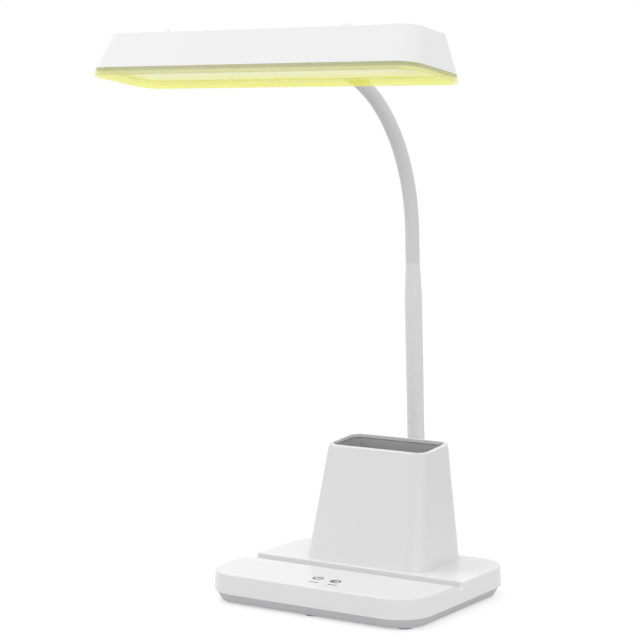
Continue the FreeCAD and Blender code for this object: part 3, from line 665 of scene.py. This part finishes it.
class Recipe:
    """A Geometry Nodes tree with named inputs, made plain mesh when it is run."""

    def __init__(self, name: str, finish: Finish, sizes: dict[str, tuple[str, object]]) -> None:
        """Makes an empty tree with its inputs.

        Args:
            name: The tree's name.
            finish: The finish of what it makes.
            sizes: Each input's socket type and value, by its name.
        """
        self.finish = finish
        self.tree = bpy.data.node_groups.new(name, "GeometryNodeTree")
        face = self.tree.interface
        face.new_socket(name="Geometry", in_out="INPUT", socket_type="NodeSocketGeometry")
        face.new_socket(name="Geometry", in_out="OUTPUT", socket_type="NodeSocketGeometry")
        self.values = {}
        for label, (kind, value) in sizes.items():
            socket = face.new_socket(name=label, in_out="INPUT", socket_type=kind)
            self.values[socket.identifier] = value
        self.inputs = self.tree.nodes.new("NodeGroupInput")
        self.outputs = self.tree.nodes.new("NodeGroupOutput")

    def add(self, kind: str, settings: dict | None = None, **links: object) -> bpy.types.Node:
        """Adds one node.

        Args:
            kind: Blender's name for the node's type.
            settings: Its properties.
            links: Sockets or values by input name, with _ for a space.

        Returns:
            The node.
        """
        made = self.tree.nodes.new(kind)
        for name, value in (settings or {}).items():
            setattr(made, name, value)
        for key, value in links.items():
            target = made.inputs[key.replace("_", " ")]
            if isinstance(value, bpy.types.NodeSocket):
                self.tree.links.new(value, target)
            else:
                target.default_value = value
        return made

    def size(self, label: str) -> bpy.types.NodeSocket:
        """The socket of one named input."""
        return self.inputs.outputs[label]

    def close(self, geometry: bpy.types.NodeSocket) -> None:
        """Ends the tree in Realize Instances and Set Material.

        Args:
            geometry: What the tree has made.
        """
        real = self.add("GeometryNodeRealizeInstances", Geometry=geometry)
        painted = self.add("GeometryNodeSetMaterial", Geometry=real.outputs[0],
                           Material=self.finish.material())
        self.tree.links.new(painted.outputs[0], self.outputs.inputs[0])

    def run(self, name: str, source: bpy.types.ID) -> bpy.types.Object:
        """Runs the tree on a curve or mesh and keeps the result as a plain mesh.

        Args:
            name: The piece's name.
            source: The curve or mesh that the tree starts from.

        Returns:
            The piece, with no modifier.
        """
        carrier = bpy.data.objects.new(name + "_source", source)
        bpy.context.scene.collection.objects.link(carrier)
        modifier = carrier.modifiers.new("recipe", "NODES")
        modifier.node_group = self.tree
        for identifier, value in self.values.items():
            modifier[identifier] = value
        graph = bpy.context.evaluated_depsgraph_get()
        mesh = bpy.data.meshes.new_from_object(carrier.evaluated_get(graph))
        carrier.modifiers.remove(modifier)
        bpy.data.objects.remove(carrier)
        return object_of(name, mesh, self.finish)


def tube_recipe(radius: float, sides: int, step: float, finish: Finish) -> Recipe:
    """A round tube along a curve, with closed ends and a smooth skin.

    Args:
        radius: The tube's radius.
        sides: Faces around it.
        step: Distance between rings.
        finish: Its finish.

    Returns:
        The recipe, to be run on a curve.
    """
    recipe = Recipe("tube_along_path", finish, {
        "Radius": ("NodeSocketFloat", radius),
        "Sides": ("NodeSocketInt", sides),
        "Step": ("NodeSocketFloat", step),
    })
    even = recipe.add("GeometryNodeResampleCurve", {"mode": "LENGTH"},
                      Curve=recipe.size("Geometry"), Length=recipe.size("Step"))
    section = recipe.add("GeometryNodeCurvePrimitiveCircle",
                         Resolution=recipe.size("Sides"), Radius=recipe.size("Radius"))
    skin = recipe.add("GeometryNodeCurveToMesh", Curve=even.outputs[0],
                      Profile_Curve=section.outputs[0], Fill_Caps=True)
    recipe.close(skin.outputs[0])
    return recipe


def dots_recipe(count: int, sides: int, pitch: float, radius: float, height: float, at: Vector,
                finish: Finish) -> Recipe:
    """A row of low round dots.

    Args:
        count: How many there are.
        sides: Faces around a dot.
        pitch: Distance between their middles.
        radius: A dot's radius.
        height: A dot's height.
        at: The middle of the first dot.
        finish: Their finish.

    Returns:
        The recipe, to be run on any mesh.
    """
    recipe = Recipe("row_of_dots", finish, {
        "Count": ("NodeSocketInt", count),
        "Sides": ("NodeSocketInt", sides),
        "Pitch": ("NodeSocketFloat", pitch),
        "Radius": ("NodeSocketFloat", radius),
        "Height": ("NodeSocketFloat", height),
        "Place": ("NodeSocketVector", at),
    })
    offset = recipe.add("ShaderNodeCombineXYZ", X=recipe.size("Pitch"))
    row = recipe.add("GeometryNodeMeshLine", {"mode": "OFFSET"}, Count=recipe.size("Count"),
                     Start_Location=recipe.size("Place"), Offset=offset.outputs[0])
    dot = recipe.add("GeometryNodeMeshCylinder", Vertices=recipe.size("Sides"),
                     Radius=recipe.size("Radius"), Depth=recipe.size("Height"))
    spread = recipe.add("GeometryNodeInstanceOnPoints",
                        Points=row.outputs[0], Instance=dot.outputs[0])
    recipe.close(spread.outputs[0])
    return recipe


def smooth(piece: bpy.types.Object, crease: float) -> None:
    """Shades a piece smooth, with sharp edges where its faces turn by more than the crease."""
    piece.data.shade_smooth()
    piece.data.set_sharp_from_angle(angle=crease)


# ---------------------------------------------------------------- sub-assemblies
@dataclass
class BaseUnit:
    """The low rounded base with its plinth, feet and the touch key marks."""

    top_z: float = 0.0226
    print_height: float = 0.00004
    arc_step: float = 9.0           # degrees between the corners of a printed ring
    key_r: float = 0.0034
    stroke: float = 0.00125
    left_key: Pair = (-0.0040, -0.0476)
    power_ring: Pair = (125.0, 415.0)   # degrees, open at the top
    power_bar: float = 1.2          # its length in key radii and its width in strokes
    right_key: Pair = (0.0114, -0.0492)
    half_ring: Pair = (100.0, 350.0)    # degrees
    half_ring_r: float = 0.52       # in key radii
    half_ring_stroke: float = 0.8   # in strokes
    dots_at: Pair = (-0.0034, -0.0588)
    dots_count: int = 4
    dots_pitch: float = 0.0019
    dot_r: float = 0.0008
    dot_sides: int = 20
    bar_from: Pair = (0.0115, -0.0592)
    bar_length: float = 0.0073

    def dress(self) -> None:
        """Gives the base's solids their finishes."""
        dress(SHELL_WHITE, "base_top_shell")
        dress(PLINTH_GREY, "base_bottom_cover")
        dress(FOOT_RUBBER, "rubber_feet")
        dress(PLATE_STEEL, "base_screws", "counterweight", "board_screws")
        dress(BOARD_GREEN, "control_board")
        dress(SPRING_BRASS, "key_springs")
        dress(INLET_BLACK, "power_inlet")

    def band(self, mesh: bmesh.types.BMesh, centre: Pair, radius: float, width: float,
             span: Pair) -> None:
        """Adds a flat printed band: part of a ring, closed on all sides.

        Args:
            mesh: The mesh to add to.
            centre: The ring's middle.
            radius: Its radius, to the middle of the band.
            width: The band's width.
            span: Start and end angle in degrees.
        """
        start, end = span
        steps = round((end - start) / self.arc_step)
        whole = math.isclose(end - start, FULL_TURN)
        inner, outer = radius - width / 2, radius + width / 2
        low, high = self.top_z, self.top_z + self.print_height
        corners = ((inner, low), (outer, low), (outer, high), (inner, high))
        middle = Vector((*centre, 0))
        rows = []
        for index in range(steps if whole else steps + 1):
            angle = math.radians(start + (end - start) * index / steps)
            direction = Vector((math.cos(angle), math.sin(angle), 0))
            rows.append([
                mesh.verts.new(middle + direction * reach + Vector((0, 0, z)))
                for reach, z in corners
            ])
        pairs = list(zip(rows, rows[1:])) + ([(rows[-1], rows[0])] if whole else [])
        for near, far in pairs:
            for index in range(len(corners)):
                following = (index + 1) % len(corners)
                mesh.faces.new((near[index], near[following], far[following], far[index]))
        if not whole:
            mesh.faces.new(rows[0][::-1])
            mesh.faces.new(rows[-1])

    def bar(self, mesh: bmesh.types.BMesh, centre: Pair, width: float, depth: float) -> None:
        """Adds a flat printed bar.

        Args:
            mesh: The mesh to add to.
            centre: Its middle.
            width: Its size along X.
            depth: Its size along Y.
        """
        middle = Vector((*centre, self.top_z + self.print_height / 2))
        size = Matrix.Diagonal((width, depth, self.print_height, 1))
        bmesh.ops.create_cube(mesh, size=1.0, matrix=Matrix.Translation(middle) @ size)

    def power_mark(self, mesh: bmesh.types.BMesh) -> None:
        """Adds the power symbol: an open ring with a bar in its gap.

        Args:
            mesh: The mesh to add to.
        """
        self.band(mesh, self.left_key, self.key_r, self.stroke, self.power_ring)
        x, y = self.left_key
        length = self.key_r * self.power_bar
        self.bar(mesh, (x, y + length / 2), self.stroke * self.power_bar, length)

    def brightness_mark(self, mesh: bmesh.types.BMesh) -> None:
        """Adds the brightness symbol: a ring round a thinner half ring.

        Args:
            mesh: The mesh to add to.
        """
        self.band(mesh, self.right_key, self.key_r, self.stroke, (0.0, FULL_TURN))
        self.band(mesh, self.right_key, self.key_r * self.half_ring_r,
                  self.stroke * self.half_ring_stroke, self.half_ring)

    def key_marks(self) -> None:
        """Builds the two printed key symbols and the short bar, as one thin piece."""
        mesh = bmesh.new()
        self.power_mark(mesh)
        self.brightness_mark(mesh)
        x, y = self.bar_from
        self.bar(mesh, (x + self.bar_length / 2, y), self.bar_length, self.stroke)
        bmesh.ops.recalc_face_normals(mesh, faces=mesh.faces)
        data = bpy.data.meshes.new("key_marks")
        mesh.to_mesh(data)
        mesh.free()
        place_piece(object_of("key_marks", data, KEY_INK), "base")

    def level_dots(self) -> None:
        """Builds the row of printed dots by the power mark."""
        at = Vector((*self.dots_at, self.top_z + self.print_height / 2))
        recipe = dots_recipe(self.dots_count, self.dot_sides, self.dots_pitch, self.dot_r,
                             self.print_height, at, KEY_INK)
        start = bpy.data.meshes.new("level_dots_start")
        place_piece(recipe.run("level_dots", start), "base")

    def build(self) -> None:
        """Dresses the solids and builds the printed marks."""
        self.dress()
        self.key_marks()
        self.level_dots()


@dataclass
class PenCup:
    """The tapered cup with its grey liner."""

    def build(self) -> None:
        """Dresses the cup's solids."""
        dress(CUP_WHITE, "cup_shell")
        dress(LINER_GREY, "cup_liner")
        dress(PLATE_STEEL, "cup_screws")


@dataclass
class Arm:
    """The straight tube, its tapered collar and the smooth gooseneck sleeve."""

    foot_y: float = 0.0862
    foot_z: float = 0.0226
    lean: float = math.radians(2.66)
    sleeve_start: float = 0.2161    # along the arm, above the base's top face
    bend_start: float = 0.2398
    bend_r: float = 0.1248
    end_slope: float = math.pi / 2 - HEAD_PITCH
    first_hinge_slope: float = math.radians(10.0)
    neck_length: float = 0.0470     # from the last hinge into the head
    path_step: float = 0.0010
    sleeve_r: float = 0.00525
    sleeve_sides: int = 48
    ring_step: float = 0.0015
    crease: float = math.radians(50.0)
    hold: float = 0.12              # share of a piece at each end left outside the reach worked out round its hinge
    bodies: tuple[str, ...] = ("base", "link_1", "link_2", "link_3", "link_4", "head")

    @property
    def bend_end(self) -> float:
        """Where the bend ends, along the arm."""
        return self.bend_start + self.bend_r * (self.end_slope - self.lean)

    @property
    def hinges(self) -> list[float]:
        """Where the hinges are.

        Returns:
            Their lengths along the arm.
        """
        first = self.bend_start + self.bend_r * (self.first_hinge_slope - self.lean)
        last = len(self.bodies) - 2
        return [first + (self.bend_end - first) * index / last for index in range(last + 1)]

    def point(self, length: float) -> Vector:
        """A point of the arm's centre line.

        Args:
            length: Length along the arm above the base's top face.

        Returns:
            The point.
        """
        turned = max(length - self.bend_start, 0) / self.bend_r
        slope = self.lean + min(turned, self.end_slope - self.lean)
        straight = min(length, self.bend_start)
        beyond = max(length - self.bend_end, 0)
        y = self.foot_y - math.sin(self.lean) * straight - math.sin(slope) * beyond
        z = self.foot_z + math.cos(self.lean) * straight + math.cos(slope) * beyond
        y += self.bend_r * (math.cos(slope) - math.cos(self.lean))
        z += self.bend_r * (math.sin(slope) - math.sin(self.lean))
        return Vector((0, y, z))

    def path(self, name: str, start: float, end: float) -> bpy.types.Curve:
        """A curve along the centre line.

        Args:
            name: The curve's name.
            start: Where it starts, along the arm.
            end: Where it ends.

        Returns:
            The curve.
        """
        curve = bpy.data.curves.new(name, "CURVE")
        curve.dimensions = "3D"
        steps = round((end - start) / self.path_step)
        spline = curve.splines.new("POLY")
        spline.points.add(steps)
        for index, place in enumerate(spline.points):
            place.co = (*self.point(start + (end - start) * index / steps), 1.0)
        return curve

    def sleeve(self) -> None:
        """Builds the sleeve in one piece for each hinge, meeting in the middle of each link."""
        recipe = tube_recipe(self.sleeve_r, self.sleeve_sides, self.ring_step, SLEEVE_SOFT)
        hinges = self.hinges
        marks = [self.sleeve_start]
        marks += [(low + high) / 2 for low, high in zip(hinges, hinges[1:])]
        marks.append(self.bend_end + self.neck_length)
        for index, (start, end) in enumerate(zip(marks, marks[1:])):
            name = f"sleeve_{index}"
            piece = recipe.run(name, self.path(name, start, end))
            smooth(piece, self.crease)
            reach = min(hinges[index] - start, end - hinges[index]) * (1 - self.hold)
            self.bodies[index + 1]
            self.point(hinges[index] - reach)
            self.point(hinges[index] + reach)
            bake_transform(piece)
            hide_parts(f"gooseneck_sleeve_{index}")
            LOG.info("built %s across %s and %s", name, self.bodies[index], self.bodies[index + 1])
            if index == len(marks) - 2:
                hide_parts("neck_tube")

    def build(self) -> None:
        """Dresses the arm's solids and builds the sleeve."""
        dress(TUBE_PAINT, "arm_tube", "taper_collar")
        dress(PLATE_STEEL, "arm_socket", "socket_screw")
        dress(CORE_STEEL, *(f"gooseneck_core_{index}" for index in range(len(self.hinges))))
        self.sleeve()


@dataclass
class LightHead:
    """The long tapered cover with its clear rim and light panel."""

    def build(self) -> None:
        """Dresses the head's solids."""
        dress(HEAD_WHITE, "head_cover")
        dress(PLUG_GREY, "cover_plugs")
        dress(RIM_YELLOW, "light_rim")
        dress(PANEL_CREAM, "diffuser_panel")
        dress(TRAY_WHITE, "reflector_tray")
        dress(BOARD_GREEN, "led_board")
        dress(CHIP_AMBER, "led_chips")
        dress(INNER_GREY, "neck_bracket")
        dress(PLATE_STEEL, "head_screws")


@dataclass(frozen=True)
class Softbox:
    """A square soft light that faces the lamp."""

    name: str
    at: Triple
    size: float
    power: float
    target: Triple = (0.0, 0.0, 0.2)

    def build(self) -> None:
        """Makes the light."""
        data = bpy.data.lights.new(self.name, "AREA")
        data.shape = "SQUARE"
        data.size = self.size
        data.energy = self.power
        made = bpy.data.objects.new(self.name, data)
        made.location = self.at
        direction = Vector(self.target) - Vector(self.at)
        made.rotation_euler = direction.to_track_quat("-Z", "Y").to_euler()
        bpy.context.scene.collection.objects.link(made)


@dataclass
class Studio:
    """White floor and surroundings, soft lights and the camera."""

    camera_at: Triple = (0.7202, -1.1684, 0.3375)
    camera_azimuth: float = math.radians(32.814)
    camera_pitch: float = math.radians(90.0 - 5.656)    # from straight down
    lens: float = 108.53
    sensor: float = 36.0
    nearest: float = 0.05
    ambient: float = 0.83
    floor_albedo: float = 0.55
    floor_glow: float = 0.55
    floor_half: float = 40.0
    lights: tuple[Softbox, ...] = (
        Softbox("right_softbox", (1.7, 0.0, 0.8), 1.0, 1.3),
        Softbox("front_right_softbox", (1.3, -1.3, 0.8), 1.8, 7.0),
        Softbox("front_left_softbox", (-1.3, -1.2, 1.0), 1.0, 3.3),
        Softbox("high_left_softbox", (-0.65, 0.0, 1.35), 0.36, 3.2),
        Softbox("back_softbox", (0.1, 1.3, 1.05), 0.3, 1.0),
    )

    @staticmethod
    def seen(graph: Graph) -> Signal:
        """1 for rays that look at a surface from the camera, off gloss or through clear.

        Args:
            graph: The graph to build it in.

        Returns:
            1 for such rays, 0 for all others.
        """
        paths = [
            graph.node("ShaderNodeLightPath", output=name)
            for name in ("Is Camera Ray", "Is Glossy Ray", "Is Transmission Ray")
        ]
        return paths[0].larger(paths[1]).larger(paths[2])

    def camera(self) -> None:
        """Makes the camera."""
        data = bpy.data.cameras.new("camera")
        data.lens = self.lens
        data.sensor_width = self.sensor
        data.clip_start = self.nearest
        made = bpy.data.objects.new("camera", data)
        made.location = self.camera_at
        made.rotation_euler = (self.camera_pitch, 0.0, self.camera_azimuth)
        bpy.context.scene.collection.objects.link(made)
        bpy.context.scene.camera = made

    def floor(self) -> None:
        """Makes the floor, white where it is lit and soft grey in shadow."""
        material = bpy.data.materials.new("studio_floor")
        graph = Graph(material, "ShaderNodeOutputMaterial")
        white = (self.floor_albedo,) * 3 + (1.0,)
        matt = graph.node("ShaderNodeBsdfDiffuse", inputs={"Color": white})
        strength = self.seen(graph) * self.floor_glow
        glow = graph.node("ShaderNodeEmission", inputs={"Strength": strength})
        graph.finish(graph.node("ShaderNodeAddShader", inputs={0: matt, 1: glow}))
        mesh = bpy.data.meshes.new("studio_floor")
        half = self.floor_half
        corners = [(-half, -half, 0), (half, -half, 0), (half, half, 0), (-half, half, 0)]
        mesh.from_pydata(corners, [], [(0, 1, 2, 3)])
        mesh.materials.append(material)
        made = bpy.data.objects.new("studio_floor", mesh)
        bpy.context.scene.collection.objects.link(made)

    def surroundings(self) -> None:
        """Makes the world, white where it is seen and softer as light."""
        world = bpy.data.worlds.new("studio_world")
        bpy.context.scene.world = world
        graph = Graph(world, "ShaderNodeOutputWorld")
        colour = (1.0, 1.0, 1.0, 1.0)
        light, white = (
            graph.node("ShaderNodeBackground", inputs={"Color": colour, "Strength": strength})
            for strength in (self.ambient, 1.0)
        )
        inputs = {0: self.seen(graph), 1: light, 2: white}
        graph.finish(graph.node("ShaderNodeMixShader", inputs=inputs))

    def build(self) -> None:
        """Makes the studio and sets the plain view."""
        bpy.context.scene.view_settings.view_transform = "Standard"
        self.camera()
        self.floor()
        self.surroundings()
        for light in self.lights:
            light.build()


def main() -> None:
    """Builds the studio and the lamp's sub-assemblies in order."""
    logging.basicConfig(level=logging.INFO, format="%(name)s: %(message)s")
    for part in (Studio(), BaseUnit(), PenCup(), Arm(), LightHead()):
        part.build()
        LOG.info("finished %s", type(part).__name__)


if __name__ == "__main__":
    main()
